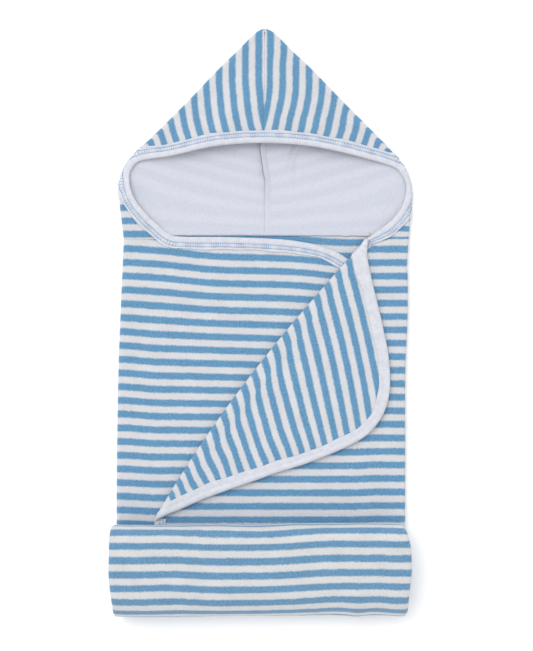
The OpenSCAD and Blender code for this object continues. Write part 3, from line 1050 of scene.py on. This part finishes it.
# middle of the stack of cloth, in the y-z plane: turned up at the foot, then rolled
FOOT_RADIUS = 9.8
NOSE_Y = FOOT_Y - FOOT_RADIUS
FOOT_NOSE = np.array([NOSE_Y, 15.4])
FOOT_MIDDLE = join_runs([arc((FOOT_Y, 14.0), FOOT_RADIUS, -HALF, -math.pi),
                         np.array([(NOSE_Y, 14.0), FOOT_NOSE])], 1.5)
ROLL_MIDDLE = join_runs([
    np.array([FOOT_NOSE, (NOSE_Y, 15.7)]),
    arc((NOSE_Y + 26.0, 15.7), 26.0, math.pi, HALF),
    np.array([(NOSE_Y + 26.0, 41.7), (-211.0, 41.7)]),
    arc((-211.0, 31.9), 9.8, HALF, 0.0),
    np.array([(-201.2, 31.9), (-201.2, 18.6)]),
    arc((-206.0, 18.6), 4.8, 0.0, -HALF),
    np.array([(-206.0, 13.8), (NOSE_Y + 23.0, 13.8)]),
    arc((NOSE_Y + 23.0, 23.4), 9.6, -HALF, -3 * HALF),
    np.array([(NOSE_Y + 23.0, 33.0), (-216.0, 33.0)]),
    arc((-216.0, 27.75), 5.25, HALF, -HALF),
    np.array([(-216.0, 22.5), (-262.0, 22.5)]),
], 1.5)


def band_profile():
    """Cross-section of the rolled stack of three layers: x, and height over its middle towards
    the outside of the roll. The left end holds two layers only."""
    thick, thin = 4.2, 2.9
    inside, outside = 59, 93
    right = np.linspace(-HALF, HALF, 11)
    left = np.linspace(HALF, 3 * HALF, 11)
    x = np.r_[np.linspace(-100.0, 132.0, inside), 142.5 + thick * np.cos(right),
              np.linspace(138.0, -138.0, outside), -144.5 + thin * np.cos(left),
              np.array([-136.0, -126.0, -117.0, -113.5, -112.0, -109.0])]
    h = np.r_[np.full(inside, -thick), thick * np.sin(right), np.full(outside, thick),
              thick - thin + thin * np.sin(left), np.array([-1.6, -1.6, -1.6, -2.0, -3.6, -thick])]
    return x, h


def roll_width(s, x):
    """How far the roll's ends stand out past the body's sides, unevenly, along the spiral."""
    stations = [0, 20, 40, 75, 100, 118, 135, 200, 360]
    left = np.interp(s, stations, [0.4, -0.8, -1.8, -4.0, -4.6, -3.0, -0.5, -1.5, 0.5])
    right = np.interp(s, stations, [-6.2, -6.0, -4.8, -2.2, -3.4, -7.6, -7.0, -5.0, -6.5])
    left = left - 0.5 * np.sin(s / 9.0)
    right = right + 0.5 * np.sin(s / 11.0)
    return x + mix(left, right, (x + 144) / 288)


def nose_wave(x, s):
    """Slight puckers where the stack bends up at the foot."""
    shape = 1.4 * bell(x, 92, 9) - 0.9 * bell(x, 68, 18) + bell(x, -110, 40) + 0.8 * bell(x, 132, 14)
    return shape * smooth((s - 6) / 14) * smooth((62 - s) / 20)


def build_band(name, middle, start_length):
    """One stretch of the turned-up and rolled foot, as a band with rounded ends. The roll lies a
    little askew: its left end is further from the hood and its stripes tilt."""
    outward = left_of(middle)
    run = distances(middle) + start_length
    x0, h = band_profile()
    rings, uv = [], []
    for i, s in enumerate(run):
        x = roll_width(s, x0)
        here = np.full_like(x, s)
        waves = 0.55 * ripple(x, here, 62.0, 23) + 0.22 * ripple(x, here, 19.0, 29)
        rough = waves * smooth(s / 25.0) + nose_wave(x, s)
        lift = h + rough * np.where(h > 0, 1.0, 0.35)
        askew = 1.8 * (1 - smooth((x + 145) / 240))
        plan = middle[i] + outward[i] * lift[:, None]
        plan[:, 0] -= askew * smooth((s - 8) / 36)
        plan[:, 1] = np.maximum(plan[:, 1], 0.1)
        rings.append(np.column_stack([x, plan]))
        bend = 0.9 * ripple(x, here * 0.4, 120.0, 31)
        tilt = 2.6 * smooth(x / 110) - 1.0 * smooth((x - 110) / 25) + askew
        tilt = tilt - 0.3 * bell(x, -10, 60) + 0.8 * bell(x, -94, 22)
        tilt = tilt - 0.5 * bell(x, -50, 20) + 0.5 * bell(x, 66, 25)
        n = np.interp(s + (bend - tilt) * smooth(s / 20), ROLL_STRIPES, ROLL_STRIPE_NUMBERS)
        uv.append(np.column_stack([x + h, n * STRIPE]))
    return tube(name, np.array(rings), np.array(uv), terry_roll, flat_ends=True)


def build_hem():
    """Binding of the towel's far edge, inside the roll."""
    y, z = ROLL_MIDDLE[-1]
    angle = np.linspace(0, 2 * math.pi, 20, endpoint=False)
    rings, uv = [], []
    for x in np.linspace(-146, 144, 150):
        size = (1 + 0.05 * math.sin(x / 2.3)) * (1.0 - 0.35 * smooth((abs(x) - 138) / 8))
        here = np.full(20, x)
        rings.append(np.column_stack([here, y + 1.0 - 4.6 * np.cos(angle) * size,
                                      z + 4.3 * np.sin(angle) * size]))
        uv.append(np.column_stack([here, angle * 4]))
    return tube("hem_binding_tape", np.array(rings), np.array(uv), jersey)


# ---------------------------------------------------------------- scene
def build_floor():
    """A plain pale floor just under the towel."""
    mesh = bpy.data.meshes.new("floor")
    size, z = 6.0, -0.0003
    corners = [(-size, -size, z), (size, -size, z), (size, size, z), (-size, size, z)]
    mesh.from_pydata(corners, [], [(0, 1, 2, 3)])
    floor = bpy.data.objects.new("floor", mesh)
    bpy.context.scene.collection.objects.link(floor)
    material, tree = new_material("plain_floor")
    surface(tree, Base_Color=(0.93, 0.93, 0.93, 1.0), Roughness=1.0, Specular_IOR_Level=0.0)
    mesh.materials.append(material)


def build_key_light():
    """A wide soft sun from above the hood, a little to the left."""
    light = bpy.data.lights.new("key", "SUN")
    light.angle = math.radians(45.0)
    light.energy = 1.35
    lamp = bpy.data.objects.new("key", light)
    lamp.location = (-0.8, 1.1, 1.9)
    lamp.rotation_euler = (-lamp.location).to_track_quat("-Z", "Y").to_euler()
    lamp.visible_camera = False
    bpy.context.scene.collection.objects.link(lamp)


def build_studio():
    """Even pale light from all round, the key light and plain colours."""
    world = bpy.data.worlds.new("studio")
    world.use_nodes = True
    background = world.node_tree.nodes["Background"]
    background.inputs[0].default_value = (0.985, 0.99, 1.0, 1.0)
    background.inputs[1].default_value = 1.05
    bpy.context.scene.world = world
    build_key_light()
    bpy.context.scene.view_settings.view_transform = "Standard"
    bpy.context.scene.view_settings.look = "None"


def build_camera():
    """Straight above the towel, as far up as a 100 mm lens needs to see all of the picture."""
    seen_length = 0.651    # metres of the floor from the bottom to the top of the picture
    data = bpy.data.cameras.new("camera")
    data.sensor_width = 36.0
    data.lens = 100.0
    camera = bpy.data.objects.new("camera", data)
    camera.location = (0.0025, -0.0015, seen_length * data.lens / data.sensor_width)
    bpy.context.scene.collection.objects.link(camera)
    bpy.context.scene.camera = camera


def ridge_rise(share):
    """The hood's inner seam stands up most in the mouth, and is low under the hood's front."""
    swell = smooth((share - 0.1) / 0.25) * (1 - smooth((share - 0.58) / 0.15))
    return smooth((share + 0.01) / 0.05) * (1 + 1.4 * swell)


def build_seams():
    """The seam up the middle of the hood's inside, and the seam at the neck."""
    ridge_path = smooth_path([(4.6, 90.0), (4.4, 118), (4.0, 140), (1.6, 156), (-0.4, 172),
                              (-0.6, 200), (0.3, 262)], 2.0)
    ridge = strip_along("hood_seam_ridge", ridge_path, 7.0, 1.5, 3.7, seam_lining, 0.35,
                        ridge_rise)
    neck_path = smooth_path([(-103.0, 91.8), (-40, 92.4), (30, 92.2), (106.0, 91.4)], 2.0)
    neck = strip_along("neck_seam_band", neck_path[::-1], 7.4, 0.7, 3.7, lining)
    return ridge, neck


def main():
    build_camera()
    build_studio()
    build_floor()

    wrap = build_wrap()
    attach(wrap, "towel")
    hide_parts("back_panel", "left_flap", "right_flap")

    lapel = build_lapel()
    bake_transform(lapel)
    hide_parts("lapel")

    hood_left = build_hood_half("hood_left", HOOD_LEFT, MOUTH_LEFT, -1)
    hood_right = build_hood_half("hood_right", HOOD_RIGHT, MOUTH_RIGHT, 1)
    inside = build_lining()
    ridge, neck = build_seams()
    for piece in (hood_left, hood_right, inside, ridge, neck):
        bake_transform(piece)
    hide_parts("hood_back_left", "hood_front_left")
    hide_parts("hood_back_right", "hood_front_right")
    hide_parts("hood_seam_tape")
    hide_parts("neck_seam_tape")

    mouth, mouth_thread = build_mouth_binding()
    edge, edge_thread = build_lapel_binding()
    end, end_thread = build_flap_end_binding()
    for piece in (mouth, mouth_thread):
        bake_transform(piece)
    for piece in (edge, edge_thread):
        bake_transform(piece)
    for piece in (end, end_thread):
        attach(piece, "towel")
    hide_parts("left_flap_binding", "hood_binding")
    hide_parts("left_flap_stitches", "hood_binding_stitches")
    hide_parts("lapel_binding")
    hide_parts("right_flap_binding")
    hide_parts("lapel_stitches")

    foot = build_band("foot_wrap", FOOT_MIDDLE, 0.0)
    roll = build_band("roll_wrap", ROLL_MIDDLE, distances(FOOT_MIDDLE)[-1])
    hem = build_hem()
    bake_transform(foot)
    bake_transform(roll)
    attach(hem, "roll")
    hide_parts("foot_turn")
    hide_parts("roll_outer_turn", "roll_inner_turn")
    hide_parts("hem_binding")


main()
